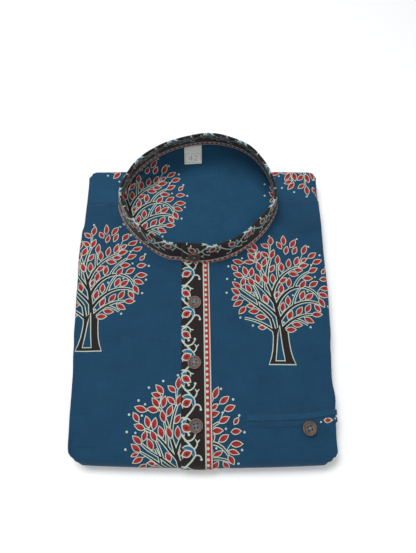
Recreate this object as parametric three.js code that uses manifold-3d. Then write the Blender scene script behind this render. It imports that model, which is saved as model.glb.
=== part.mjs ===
// A cotton kurta tunic with a stand collar, folded into a flat packet and lying on a surface.
// Millimetres, +Z up. x runs across the packet, y from its lower fold up to the collar, z up from the surface.
// The sides and sleeves are folded behind, then the lower half is folded under, so the packet holds three groups
// of layers: the chest on top (A), the tail in the middle (C) and the waist below (B).
import * as THREE from "three";
import { mergeVertices } from "three/addons/utils/BufferGeometryUtils.js";
import Module from "manifold-3d";

const wasm = await Module();
wasm.setup();

// ---- Driving dimensions ----
const GAP = 0.3; // between pieces that touch
const CLOTH = 1.2; // wall of each cloth piece
const TOP = 26; // height of the packet's upper face
const PACKET = { topFold: 294, corner: 9, bow: 3, bowEnds: 60, halfWidth: 118 };
const GROUP_A = { low: 16, sideRoll: 5, shoulderRoll: 2.6 };
const GROUP_B = { high: 8, sideRoll: 4 };
const GROUP_C = { low: 8.3, high: 15.7 };
// The packet's sides are not quite straight: a row for each place up the packet.
const SIDES = [
  { y: 0, left: -117, right: 115.5 },
  { y: 50, left: -119, right: 117 },
  { y: 110, left: -122.5, right: 118 },
  { y: 160, left: -124.5, right: 120 },
  { y: 210, left: -125.5, right: 119.5 },
  { y: 250, left: -123.5, right: 119 },
  { y: 300, left: -123, right: 118 },
];
const NECK = {
  x: -7,
  y: 252,
  halfWidth: 82,
  front: 65,
  back: 66,
  frontPower: 1.35,
  backPower: 1.15,
  backShift: 11,
  backRise: 17,
  riseFrom: 240,
};
// The collar runs in degrees round the neck. Its under end steps inwards behind the over end.
const COLLAR = {
  height: 28,
  lean: 10,
  backCurl: 5,
  backFrom: 262,
  backReach: 46,
  overEnd: -11,
  underEnd: 368,
  underStep: 3.3,
  stepFrom: 336,
  stepReach: 13,
  columns: 50,
};
const SHOULDER = { seam: 257, tilt: 0.02 };
// The back panel's inside, seen through the neck: it is a little narrower than the packet.
const FLOOR = { front: 165, drop: 2.5, spread: 0.94, places: [165, 200, 254, 264] };
const RISE = { from: 270, reach: 36, below: 3 }; // where the back panel climbs to the collar behind the neck
const PLACKET = { x: -7.4, width: 28, slant: -0.0167, from: 87, chestEnd: 203, underEnd: 210 };
const POCKET = { left: 38, opening: 36.4, tilt: 0.05, upper: 5, lower: 4.6 };
const LABEL = { x: -12, width: 19, thickness: 1, firstRow: 5, lastRow: -4 };
const BUTTON = { radius: 6.3, thickness: 2.4, rim: 1.1, dish: 0.5, hole: 0.8, spread: 2.1 };
const PLACKET_BUTTONS = [
  { name: "button_1", y: 144.8, x: -9.3 },
  { name: "button_2", y: 87.2, x: -9.0 },
  { name: "button_3", y: 31.6, x: -7.1 },
];
const POCKET_BUTTON = { name: "button_pocket", x: 92.6, y: 29.6 };
const COLLAR_BUTTON = { degrees: -2.2, up: 0.48 };

const TEAL = new THREE.MeshStandardMaterial({ color: 0x264a63, roughness: 0.9, metalness: 0 });
const INNER_TEAL = new THREE.MeshStandardMaterial({ color: 0x2f4d62, roughness: 0.92, metalness: 0 });
const BORDER = new THREE.MeshStandardMaterial({ color: 0x2c2424, roughness: 0.88, metalness: 0 });
const LABEL_CLOTH = new THREE.MeshStandardMaterial({ color: 0xcfd2cb, roughness: 0.8, metalness: 0 });
const WOOD = new THREE.MeshStandardMaterial({ color: 0x6b5145, roughness: 0.5, metalness: 0 });

// ---- Closed meshes and solids ----
const clamp01 = (value) => Math.min(1, Math.max(0, value));
const smooth = (value) => clamp01(value) ** 2 * (3 - 2 * clamp01(value));
const radians = (degrees) => (degrees * Math.PI) / 180;

function geometryOf(points, triangles) {
  const geometry = new THREE.BufferGeometry();
  const positions = points.flatMap((point) => [point.x, point.y, point.z]);
  geometry.setAttribute("position", new THREE.Float32BufferAttribute(positions, 3));
  geometry.setIndex(triangles.flat());
  return geometry;
}

function solidOf(geometry) {
  const bare = geometry.clone();
  bare.deleteAttribute("normal");
  bare.deleteAttribute("uv");
  const merged = mergeVertices(bare, 1e-4);
  const vertProperties = new Float32Array(merged.attributes.position.array);
  const triVerts = new Uint32Array(merged.index.array);
  const solid = new wasm.Manifold(new wasm.Mesh({ numProp: 3, vertProperties, triVerts }));
  if (solid.volume() > 0) return solid;
  for (let i = 0; i < triVerts.length; i += 3) [triVerts[i], triVerts[i + 1]] = [triVerts[i + 1], triVerts[i]];
  return new wasm.Manifold(new wasm.Mesh({ numProp: 3, vertProperties, triVerts }));
}

function fromSolid(solid) {
  const { vertProperties, triVerts } = solid.getMesh();
  const geometry = new THREE.BufferGeometry();
  geometry.setAttribute("position", new THREE.BufferAttribute(vertProperties, 3));
  geometry.setIndex(new THREE.BufferAttribute(triVerts, 1));
  geometry.computeVertexNormals();
  return geometry;
}

// A cloth wall: rows of points on its face, thickened to the other side along the face's normals.
// A lift moves it off those points. A clearance makes it thicker both ways, as a cutter that leaves room round it.
function clothWall(rows, { lift = 0, clearance = 0, thickness = CLOTH } = {}) {
  const high = rows.length;
  const wide = rows[0].length;
  const at = (i, j) => rows[Math.min(high - 1, Math.max(0, i))][Math.min(wide - 1, Math.max(0, j))];
  const face = [];
  const back = [];
  for (let i = 0; i < high; i++) {
    for (let j = 0; j < wide; j++) {
      const across = at(i, j + 1).clone().sub(at(i, j - 1));
      const along = at(i + 1, j).clone().sub(at(i - 1, j));
      const normal = across.cross(along).normalize();
      face.push(at(i, j).clone().addScaledVector(normal, lift + clearance));
      back.push(at(i, j).clone().addScaledVector(normal, lift - thickness - clearance));
    }
  }
  const points = [...face, ...back];
  const other = face.length;
  const triangles = [];
  const quad = (a, b, c, d) => triangles.push([a, b, c], [a, c, d]);
  for (let i = 0; i < high - 1; i++) {
    for (let j = 0; j < wide - 1; j++) {
      const a = i * wide + j;
      quad(a, a + 1, a + wide + 1, a + wide);
      quad(other + a, other + a + wide, other + a + wide + 1, other + a + 1);
    }
  }
  const rim = [];
  for (let j = 0; j < wide - 1; j++) rim.push(j);
  for (let i = 0; i < high - 1; i++) rim.push(i * wide + wide - 1);
  for (let j = wide - 1; j > 0; j--) rim.push((high - 1) * wide + j);
  for (let i = high - 1; i > 0; i--) rim.push(i * wide);
  rim.forEach((from, k) => {
    const to = rim[(k + 1) % rim.length];
    quad(from, other + from, other + to, to);
  });
  return solidOf(geometryOf(points, triangles));
}

// A straight-sided cutter on a flat outline, from one height to another.
function prism(outline, low, high) {
  const shape = new THREE.Shape(outline.map((point) => new THREE.Vector2(point.x, point.y)));
  const geometry = new THREE.ExtrudeGeometry(shape, { depth: high - low, bevelEnabled: false });
  return solidOf(geometry.translate(0, 0, low));
}

// What a cut leaves of a solid, without the crumbs beside it.
function cut(solid, ...cutters) {
  const left = cutters.reduce((rest, cutter) => rest.subtract(cutter), solid);
  return left.decompose().sort((a, b) => b.volume() - a.volume())[0];
}

const meshes = [];
function addMesh(name, solid, material) {
  const mesh = new THREE.Mesh(fromSolid(solid), material);
  mesh.name = name;
  meshes.push(mesh);
  return mesh;
}

// ---- The packet's outline ----
function sideAt(y, key) {
  const above = SIDES.findIndex((row) => row.y >= y);
  if (above <= 0) return above === 0 ? SIDES[0][key] : SIDES.at(-1)[key];
  const [low, high] = [SIDES[above - 1], SIDES[above]];
  return THREE.MathUtils.lerp(low[key], high[key], (y - low.y) / (high.y - low.y));
}

function cornerInset(fromEdge, corner = PACKET.corner) {
  const reach = clamp01(1 - fromEdge / corner);
  return corner * (1 - Math.sqrt(1 - reach * reach));
}

// ---- Hidden layers ----
// A pad of layers whose edge is one round fold all round. The outline follows the packet's sides, moved in by inset.
function layerPad({ low, high, front, back, inset, corner }) {
  const roll = (high - low) / 2;
  const outline = [];
  const steps = 3;
  const cornerPoints = (x, y, from) => {
    for (let k = 0; k <= steps; k++) {
      const angle = radians(from + (90 * k) / steps);
      outline.push([x + corner * Math.cos(angle), y + corner * Math.sin(angle), angle]);
    }
  };
  const left = (y) => sideAt(y, "left") + inset;
  const right = (y) => sideAt(y, "right") - inset;
  const between = SIDES.map((row) => row.y).filter((y) => y > front + corner + 4 && y < back - corner - 4);
  cornerPoints(left(front) + corner, front + corner, 180);
  cornerPoints(right(front) - corner, front + corner, 270);
  between.forEach((y) => outline.push([right(y), y, 0]));
  cornerPoints(right(back) - corner, back - corner, 0);
  cornerPoints(left(back) + corner, back - corner, 90);
  between.reverse().forEach((y) => outline.push([left(y), y, Math.PI]));
  const rings = 6;
  const points = [];
  for (let ring = 0; ring <= rings; ring++) {
    const angle = radians(-90 + (180 * ring) / rings);
    const moved = roll * (1 - Math.cos(angle));
    for (const [x, y, facing] of outline) {
      const height = (low + high) / 2 + roll * Math.sin(angle);
      points.push(new THREE.Vector3(x - moved * Math.cos(facing), y - moved * Math.sin(facing), height));
    }
  }
  const count = outline.length;
  const triangles = [];
  for (let ring = 0; ring < rings; ring++) {
    for (let k = 0; k < count; k++) {
      const [a, b] = [ring * count + k, ring * count + ((k + 1) % count)];
      triangles.push([a, b, b + count], [a, b + count, a + count]);
    }
  }
  const last = rings * count;
  const cap = THREE.ShapeUtils.triangulateShape(points.slice(last), []);
  cap.forEach(([a, b, c]) => triangles.push([last + a, last + b, last + c], [a, c, b]));
  return solidOf(geometryOf(points, triangles));
}

// The back panel's inside is the floor of the neck. It sinks a little from the front to the shoulder fold.
const floorSlope = FLOOR.drop / (PACKET.topFold - FLOOR.front);
const floorFace = (y) => TOP - CLOTH - GAP - floorSlope * Math.max(0, y - FLOOR.front);

const INSIDE = GAP + CLOTH;
// From the surface up: inside the waist's wrap, the waist's end, inside the chest's wrap, the tail, the tail's fold,
// the sleeves, and the middle of them all.
const LAYERS = [
  { low: INSIDE, high: GROUP_B.high - INSIDE, front: 14, back: 268, inset: INSIDE, corner: 6 },
  { low: 0, high: GROUP_B.high, front: 240, back: 286, inset: 0, corner: 4.5 },
  { low: GROUP_A.low + INSIDE, high: TOP - INSIDE, front: 14, back: 252, inset: INSIDE, corner: 6 },
  { low: GROUP_C.low, high: GROUP_C.high, front: 15, back: 287, inset: 1.5, corner: 6 },
  { low: 0, high: GROUP_C.high, front: 272.5, back: 291, inset: 0.5, corner: 8.5 },
  { low: GROUP_A.low, high: TOP - 5.6, front: 262, back: 292.5, inset: 1, corner: 6 },
  { low: INSIDE, high: TOP - INSIDE, front: INSIDE, back: 284, inset: 14, corner: 13 },
];
// Places well outside the packet, for cutters.
const BEYOND = { back: 400, side: 200, above: 60 };
const cutFrom = FLOOR.front - 2;
const aboveFloor = prism(
  [
    { x: cutFrom, y: BEYOND.above },
    { x: cutFrom, y: floorFace(FLOOR.front) - INSIDE },
    { x: BEYOND.back, y: floorFace(BEYOND.back) - INSIDE },
    { x: BEYOND.back, y: BEYOND.above },
  ],
  -BEYOND.side,
  BEYOND.side,
).rotate([90, 0, 90]);
const layers = LAYERS.map(layerPad).reduce((all, pad) => all.add(pad));

// ---- The upper face, side folds and lower fold of the packet ----
// A place on the chest's outer face: across is measured round the side fold, lift is the height above the cloth.
function chestPoint(across, y, lift = 0) {
  const roll = GROUP_A.sideRoll;
  const left = sideAt(y, "left") + roll;
  const right = sideAt(y, "right") - roll;
  const turned = across > right ? (across - right) / roll : across < left ? (across - left) / roll : 0;
  const flat = Math.min(right, Math.max(left, across));
  const x = flat + (roll + lift) * Math.sin(turned);
  return new THREE.Vector3(x, y, TOP - roll + (roll + lift) * Math.cos(turned));
}

// The way round the packet from the waist's underside, round the lower fold and up the chest.
const FOLD_RADIUS = TOP / 2;
const UNDER_PLACES = [262, 200, 130, 60, 30];
const CHEST_PLACES = [30, 50, 80, 110, 140, 160, 185, 210, 232];
const FOLD_STEP = 18;
const SIDE_TURNS = [180, 150, 120, 90, 60, 30, 0];
function frontStations(shoulderSeam) {
  const under = UNDER_PLACES.map((y) => ({ y, z: 0, turn: -90 }));
  const round = [];
  for (let turn = -90; turn <= 90; turn += FOLD_STEP) round.push({ y: 0, z: 0, turn });
  const over = [...CHEST_PLACES, shoulderSeam].map((y) => ({ y, z: TOP, turn: 90 }));
  const stations = [...under, ...round, ...over];
  return stations.map(({ y, z, turn }) => {
    const bent = y === 0 ? radians(turn) : 0;
    const inFold = y === 0;
    return {
      y: inFold ? FOLD_RADIUS * (1 - Math.cos(bent)) : y,
      z: inFold ? FOLD_RADIUS * (1 + Math.sin(bent)) : z,
      inward: inFold ? [Math.cos(bent), -Math.sin(bent)] : [0, z > 0 ? -1 : 1],
      roll: turn > 0 ? GROUP_A.sideRoll : GROUP_B.sideRoll,
    };
  });
}

const seamY = (x) => SHOULDER.seam + SHOULDER.tilt * (x - NECK.x);
const bowAt = (x, y) => PACKET.bow * (1 - (x / PACKET.halfWidth) ** 2) * clamp01(1 - y / PACKET.bowEnds);

function frontRow(station) {
  const row = [];
  const place = (x, depth) => {
    const y = station.y + station.inward[0] * depth - bowAt(x, station.y);
    row.push(new THREE.Vector3(x, y, station.z + station.inward[1] * depth));
  };
  const { roll } = station;
  const inset = cornerInset(station.y);
  const left = sideAt(station.y, "left") + inset;
  const right = sideAt(station.y, "right") - inset;
  const curl = SIDE_TURNS.map(radians);
  curl.forEach((angle) => place(left + roll * (1 - Math.sin(angle)), roll * (1 - Math.cos(angle))));
  const flats = 8;
  for (let k = 1; k < flats; k++) place(THREE.MathUtils.lerp(left + roll, right - roll, k / flats), 0);
  curl.reverse().forEach((angle) => place(right - roll * (1 - Math.sin(angle)), roll * (1 - Math.cos(angle))));
  return row;
}

// The neck seam, seen from above, moved out by a distance. The angle runs round from the centre front.
function neckPoint(degrees, out = 0) {
  const seam = (at) => {
    const [c, s] = [Math.cos(radians(at)), Math.sin(radians(at))];
    const power = c > 0 ? NECK.frontPower : NECK.backPower;
    const depth = (c > 0 ? -NECK.front : NECK.back) * Math.abs(c) ** power;
    const x = NECK.x + NECK.halfWidth * s + NECK.backShift * Math.max(0, -c) ** 2;
    return new THREE.Vector3(x, NECK.y + depth, 0);
  };
  const tangent = seam(degrees + 2).sub(seam(degrees - 2)).normalize();
  const point = seam(degrees);
  point.x += tangent.y * out;
  point.y -= tangent.x * out;
  const rise = smooth((point.y - NECK.riseFrom) / (NECK.y + NECK.back - NECK.riseFrom));
  point.z = TOP + NECK.backRise * rise;
  return point;
}

function neckOutline(out) {
  const points = [];
  for (let degrees = 0; degrees < 360; degrees += 8) points.push(neckPoint(degrees, out));
  return points;
}

// ---- Stand collar: two bands back to back, open at the centre front, where one end laps over the other ----
function collarPoint(degrees, up, out) {
  const under = COLLAR.underStep * smooth((degrees - COLLAR.stepFrom) / COLLAR.stepReach);
  const backness = smooth((neckPoint(degrees).y - COLLAR.backFrom) / COLLAR.backReach);
  const lean = COLLAR.height * Math.sin(radians(COLLAR.lean)) * up + COLLAR.backCurl * backness * up * up;
  const point = neckPoint(degrees, out - under - lean);
  point.z = neckPoint(degrees).z - CLOTH + COLLAR.height * Math.cos(radians(COLLAR.lean)) * up;
  return point;
}

function collarBand(out, lowest = 0) {
  const { columns } = COLLAR;
  const turn = (k) => THREE.MathUtils.lerp(COLLAR.overEnd, COLLAR.underEnd, k / columns);
  return [lowest, 0.3, 0.65, 1].map((up) => {
    return Array.from({ length: columns + 1 }, (_, k) => collarPoint(turn(k), up, out));
  });
}

const bandHalf = CLOTH + GAP / 2;
addMesh("collar_outer", clothWall(collarBand(bandHalf)), BORDER);
addMesh("collar_inner", clothWall(collarBand(-GAP / 2)), BORDER);
const aroundCollar = clothWall(collarBand(bandHalf, -0.02), { clearance: GAP, thickness: 2 * bandHalf });

// ---- Front panel: one sheet from the shoulder seams down the chest, round the lower fold and under ----
const neckHole = prism(neckOutline(bandHalf + GAP), TOP - 3, TOP + 20);
const frontRows = frontStations(SHOULDER.seam - GAP).map((station) => frontRow(station));
frontRows.at(-1).forEach((point) => (point.y = seamY(point.x) - GAP));
addMesh("front_panel", cut(clothWall(frontRows), neckHole), TEAL);

// ---- Back panel: neck floor, shoulder fold and the part over the shoulders ----
function backColumn(x) {
  const edge = Math.min(x - sideAt(280, "left"), sideAt(280, "right") - x);
  const reach = clamp01(1 - edge / GROUP_A.shoulderRoll);
  const half = GROUP_A.shoulderRoll * Math.sqrt(1 - reach * reach);
  const middle = TOP - GROUP_A.shoulderRoll;
  const foldY = PACKET.topFold - half - cornerInset(edge);
  const lower = middle - half;
  const neckAngle = backNeckAngle(x);
  const onNeck = neckAngle !== null;
  // How far the cloth stands up behind the collar: 0 on the shoulders, 1 at the centre back.
  const raised = onNeck ? smooth((backEdge(neckAngle).y - RISE.from) / RISE.reach) : 0;
  const stand = bandHalf + GAP + (CLOTH + GAP) * raised;
  const end = onNeck ? neckPoint(neckAngle, stand) : new THREE.Vector3(x, seamY(x) + GAP, middle + half);
  const column = [];
  const floorHeight = (y) => Math.max(lower, floorFace(y) - CLOTH);
  for (const y of FLOOR.places) {
    const spread = y < SHOULDER.seam ? FLOOR.spread : 1;
    column.push(new THREE.Vector3(NECK.x + (x - NECK.x) * spread, y, floorHeight(y)));
  }
  const steps = 8;
  for (let k = 0; k <= steps; k++) {
    const angle = radians(-90 + (180 * k) / steps);
    const rolled = new THREE.Vector3(x, foldY + half * Math.cos(angle), middle + half * Math.sin(angle));
    const t = k / steps;
    const climb = new THREE.Vector3(x, 0, 0);
    climb.y = THREE.MathUtils.lerp(foldY, end.y, 1 - (1 - t) ** 1.6);
    climb.z = THREE.MathUtils.lerp(lower, end.z - RISE.below, t ** 1.7);
    column.push(rolled.lerp(climb, raised));
  }
  const runs = 4;
  const from = column.at(-1).clone();
  const finish = new THREE.Vector3(x, end.y, onNeck ? THREE.MathUtils.lerp(TOP, end.z, raised) : middle + half);
  for (let k = 1; k <= runs; k++) column.push(from.clone().lerp(finish, k / runs));
  return column;
}

const backEdge = (degrees) => neckPoint(degrees, bandHalf + GAP);

// The angle at which the neck seam meets a shoulder seam, going round from one side in small steps.
function neckMeetsShoulder(degrees, step) {
  const edge = backEdge(degrees);
  return edge.y > seamY(edge.x) + 2 * GAP ? degrees : neckMeetsShoulder(degrees + step, step);
}

// The angle round the back half of the neck at which its seam passes over x, or null on the shoulders.
function backNeckAngle(x) {
  let [low, high] = [rightShoulder, leftShoulder];
  if (x > backEdge(low).x || x < backEdge(high).x) return null;
  for (let k = 0; k < 30; k++) {
    const middle = (low + high) / 2;
    if (backEdge(middle).x > x) low = middle;
    else high = middle;
  }
  return low;
}

const rightShoulder = neckMeetsShoulder(90, 0.25);
const leftShoulder = neckMeetsShoulder(270, -0.25);
const backLeft = sideAt(280, "left");
const backRight = sideAt(280, "right");
const backWidths = [0.5, 1.6, 3.4, 12, 24];
// Eighteen columns over the neck, closer together towards the shoulders.
const neckParts = Array.from({ length: 18 }, (_, k) => (1 - Math.cos((Math.PI * k) / 17)) / 2);
const backPlaces = [
  ...backWidths.map((inset) => backLeft + inset),
  ...neckParts.map((part) => backEdge(THREE.MathUtils.lerp(leftShoulder, rightShoulder, part)).x),
  ...backWidths.map((inset) => backRight - inset).reverse(),
];
const backColumns = backPlaces.map(backColumn).reverse();
const backRows = backColumns[0].map((_, i) => backColumns.map((column) => column[i]));
addMesh("back_panel", cut(clothWall(backRows), aroundCollar), INNER_TEAL);
const room = { clearance: GAP };
addMesh("folded_layers", cut(layers, aboveFloor, clothWall(frontRows, room), clothWall(backRows, room)), TEAL);

// ---- Size label, hanging down from the back neck seam onto the back panel's inside ----
const labelColumns = [0.5, 0.17, -0.17, -0.5].map((part) => backColumn(LABEL.x + part * LABEL.width));
const labelRows = labelColumns[0]
  .map((_, i) => labelColumns.map((column) => column[i]))
  .slice(LABEL.firstRow, LABEL.lastRow);
const label = clothWall(labelRows, { lift: -CLOTH - GAP, thickness: LABEL.thickness });
addMesh("size_label", cut(label, clothWall(backRows, room), aroundCollar), LABEL_CLOTH);

// ---- Placket band, from the collar down the chest and round the lower fold ----
const placketRows = frontStations(PLACKET.chestEnd)
  .filter(({ y, inward }) => y <= PLACKET.chestEnd && (inward[1] < 0.6 || y > PLACKET.underEnd))
  .map(({ y, z, inward }) => {
    const middle = PLACKET.x + PLACKET.slant * (y - PLACKET.from);
    return [-0.5, -0.17, 0.17, 0.5].map((part) => {
      const x = middle + part * PLACKET.width;
      return new THREE.Vector3(x, y - bowAt(x, y), z);
    });
  });
addMesh("placket_band", cut(clothWall(placketRows, { lift: CLOTH + GAP }), neckHole), BORDER);

// ---- Chest pocket: two welts with the opening between them, running round the packet's right side fold ----
function weltWall(low, high) {
  const flatEnd = sideAt(POCKET.opening, "right") - GROUP_A.sideRoll;
  const turns = [0, 30, 60, 90, 120].map((degrees) => flatEnd + radians(degrees) * GROUP_A.sideRoll);
  const places = [POCKET.left, 64, 90, ...turns];
  return clothWall(
    [low, high].map((rise) => {
      return places.map((across) => {
        return chestPoint(across, POCKET.opening + POCKET.tilt * (across - POCKET.left) + rise);
      });
    }),
    { lift: CLOTH + GAP },
  );
}
addMesh("pocket_welt_upper", weltWall(GAP / 2, POCKET.upper), TEAL);
addMesh("pocket_welt_lower", weltWall(-POCKET.lower, -GAP / 2), TEAL);

// ---- Buttons: turned discs with a raised rim and four sewing holes ----
function buttonSolid() {
  const { radius, thickness, rim, dish, hole, spread } = BUTTON;
  const profile = [
    [0, 0],
    [radius - 0.9, 0],
    [radius, 0.8],
    [radius, thickness - 0.6],
    [radius - 0.5, thickness],
    [radius - rim, thickness],
    [radius - rim - 0.5, thickness - dish],
    [0, thickness - dish],
  ].map(([x, y]) => new THREE.Vector2(x, y));
  const disc = solidOf(new THREE.LatheGeometry(profile, 24).rotateX(Math.PI / 2));
  const holes = [45, 135, 225, 315].map((degrees) => {
    const tool = new THREE.CylinderGeometry(hole, hole, 4 * thickness, 6).rotateX(Math.PI / 2);
    return solidOf(tool.translate(spread * Math.cos(radians(degrees)), spread * Math.sin(radians(degrees)), 0));
  });
  return cut(disc, ...holes);
}

const button = buttonSolid();
const onPlacket = TOP + CLOTH + 2 * GAP;
for (const { name, x, y } of [...PLACKET_BUTTONS, POCKET_BUTTON]) {
  addMesh(name, button, WOOD).position.set(x, y, onPlacket);
}
const collarButton = addMesh("button_collar", button, WOOD);
collarButton.position.copy(collarPoint(COLLAR_BUTTON.degrees, COLLAR_BUTTON.up, bandHalf + 2 * GAP));
collarButton.rotation.x = radians(90 - COLLAR.lean);

// ---- The whole packet, centred on the ground ----
const packet = new THREE.Group().add(...meshes);
const middle = new THREE.Box3().setFromObject(packet).getCenter(new THREE.Vector3());
packet.position.set(-middle.x, -middle.y, 0);
export default packet;
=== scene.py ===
from math import atan2, cos, degrees, exp, hypot, pi, radians, sin, sqrt, tau

import bpy
from mathutils import Matrix, Vector, noise
from mathutils.geometry import delaunay_2d_cdt


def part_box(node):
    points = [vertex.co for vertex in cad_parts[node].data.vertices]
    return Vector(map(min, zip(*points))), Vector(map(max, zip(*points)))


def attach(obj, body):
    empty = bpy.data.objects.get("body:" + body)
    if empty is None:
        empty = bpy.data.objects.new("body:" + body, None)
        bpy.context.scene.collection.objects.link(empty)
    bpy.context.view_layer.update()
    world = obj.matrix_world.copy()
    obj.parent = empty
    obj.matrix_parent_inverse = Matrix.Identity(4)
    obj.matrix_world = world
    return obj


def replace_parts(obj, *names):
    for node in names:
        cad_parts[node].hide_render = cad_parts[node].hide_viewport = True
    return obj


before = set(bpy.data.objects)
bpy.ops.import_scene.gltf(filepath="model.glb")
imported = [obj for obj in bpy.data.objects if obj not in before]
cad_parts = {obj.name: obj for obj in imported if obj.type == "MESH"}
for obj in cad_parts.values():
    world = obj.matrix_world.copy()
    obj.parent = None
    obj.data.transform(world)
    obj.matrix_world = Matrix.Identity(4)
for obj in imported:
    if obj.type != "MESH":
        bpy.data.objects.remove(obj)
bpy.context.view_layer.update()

# ------------------------------------------------------------------------------------------------
# Front panel: one sheet of slubby plain-weave cotton, dyed teal and block printed with trees of life.
# It lies on the chest side of the packet, folds behind along both sides, goes round the lower fold
# and under, and ends in the tail's fold at the collar end. The neck is cut out of it.
# ------------------------------------------------------------------------------------------------
MM = 0.001
# The packet's own places are in millimetres: x across, y up from the lower fold, z up from the surface.
button_low, button_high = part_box("button_2")
BUTTON_2 = Vector((-9.0, 87.2))
ORIGIN = Vector(((button_low[0] + button_high[0]) / 2, (button_low[1] + button_high[1]) / 2)) / MM - BUTTON_2

TOP = 26.0
LOWER_FOLD = 13.0
TAIL = {"y": 283.0, "radius": 7.7}
SIDE_ROLL = {"chest": 5.0, "waist": 4.0, "tail": 3.4}
CORNER = 9.0
BOW = 3.0
SHOULDER_SEAM = {"y": 257.0, "tilt": 0.02}
NECK = {"x": -7.0, "y": 252.0, "half": 82.0, "front": 65.0, "back": 66.0, "shift": 11.0, "rise": 17.0}
# The side folds wander a little: y up the packet, and how far left and right they lie there.
SIDE_PLACES = [
    (0, -118.0, 116.6), (20, -119.4, 116.4), (45, -120.4, 117.6), (56, -120.6, 118.8), (72, -121.0, 117.2),
    (100, -122.8, 118.4), (120, -124.2, 120.2), (160, -125.6, 121.2), (200, -127.2, 120.6),
    (222, -126.6, 120.8), (232, -124.8, 121.0), (262, -124.6, 120.4), (300, -124.4, 119.0),
]


def smooth(value):
    value = min(1.0, max(0.0, value))
    return value * value * (3 - 2 * value)


def mix(a, b, part):
    return a + (b - a) * part


def side_at(y, side):
    column = 1 if side < 0 else 2
    for low, high in zip(SIDE_PLACES, SIDE_PLACES[1:]):
        if y <= high[0]:
            return mix(low[column], high[column], smooth((y - low[0]) / (high[0] - low[0])))
    return SIDE_PLACES[-1][column]


def corner_inset(y):
    reach = min(1.0, max(0.0, 1 - y / CORNER))
    return CORNER * (1 - sqrt(1 - reach * reach))


def neck_seam(angle, out=0.0):
    """The neck seam at an angle round from the centre front, moved outwards; x, y and its height."""
    def plain(a):
        c, s = cos(a), sin(a)
        reach = -NECK["front"] * c ** 1.35 if c > 0 else NECK["back"] * (-c) ** 1.15
        return Vector((NECK["x"] + NECK["half"] * s + NECK["shift"] * max(0.0, -c) ** 2, NECK["y"] + reach))
    along = (plain(angle + 0.035) - plain(angle - 0.035)).normalized()
    place = plain(angle) + Vector((along.y, -along.x)) * out
    rise = smooth((place.y - 240) / (NECK["y"] + NECK["back"] - 240))
    return Vector((place.x, place.y, TOP + NECK["rise"] * rise))


# Soft creases of the chest, each a trough or ridge from one place to another: x, y, x, y, half width, height.
CREASES = [
    (48, 201, 98, 250, 4.2, -3.4), (58, 199, 116, 236, 5.5, 2.6), (70, 209, 118, 226, 3.6, -2.2),
    (-96, 252, -64, 198, 3.8, -3.2), (-106, 246, -74, 190, 6.5, 2.3), (-70, 188, -22, 170, 7.0, 2.2),
    (-54, 196, -24, 182, 4.5, -2.4), (16, 181, 62, 200, 5.0, -2.4), (-120, 230, -98, 222, 4.0, -1.8),
    (24, 56, 96, 74, 15.0, 1.3), (-92, 62, -36, 42, 17.0, 1.4), (98, 104, 118, 58, 8.0, -1.6),
    (-120, 150, -108, 70, 8.0, -1.3), (86, 8, 114, 30, 6.0, -1.6), (-114, 28, -88, 8, 7.0, -1.6),
    (10, 150, 66, 158, 14.0, -1.1), (-84, 130, -30, 148, 15.0, -1.2), (22, 110, 60, 96, 12.0, 0.9),
]


def crease_height(x, y):
    total = 0.0
    for x0, y0, x1, y1, half, height in CREASES:
        dx, dy = x1 - x0, y1 - y0
        part = min(1.0, max(0.0, ((x - x0) * dx + (y - y0) * dy) / (dx * dx + dy * dy)))
        away = hypot(x - x0 - part * dx, y - y0 - part * dy) / half
        if away < 3:
            total += height * exp(-away * away) * (0.45 + 0.55 * sin(pi * part))
    return total


def chest_relief(x, y):
    """How far the chest stands above the packet's plain form."""
    wave = noise.noise(Vector((x / 70, y / 62, 3.7))) * 1.5 + noise.noise(Vector((x / 24, y / 30, 8.1))) * 0.35
    sag = -2.6 * smooth((abs(x + 3) - 66) / 56) - 7.0 * max(0.0, (52 - y) / 52) ** 2
    return crease_height(x, y) + wave * smooth((y + 4) / 24) + sag


def fold_path(v):
    """Where the front panel is at v along it: y, z, its outward direction, and the side folds' radius."""
    lower_end = LOWER_FOLD * (1 - pi)
    tail_start = lower_end - (TAIL["y"] - LOWER_FOLD)
    if v >= LOWER_FOLD:
        return v, TOP, 0.0, 1.0, SIDE_ROLL["chest"]
    if v >= lower_end:
        turn = (LOWER_FOLD - v) / LOWER_FOLD
        roll = mix(SIDE_ROLL["chest"], SIDE_ROLL["waist"], smooth(turn / pi))
        y, z = LOWER_FOLD * (1 - sin(turn)), LOWER_FOLD * (1 + cos(turn))
        return y, z, -sin(turn), cos(turn), roll
    if v >= tail_start:
        y = LOWER_FOLD + lower_end - v
        return y, 0.0, 0.0, -1.0, mix(SIDE_ROLL["waist"], SIDE_ROLL["tail"], smooth((y - 250) / 30))
    turn = min(pi, (tail_start - v) / TAIL["radius"])
    y, z = TAIL["y"] + TAIL["radius"] * sin(turn), TAIL["radius"] * (1 - cos(turn))
    return y, z, sin(turn), -cos(turn), SIDE_ROLL["tail"]


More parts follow.
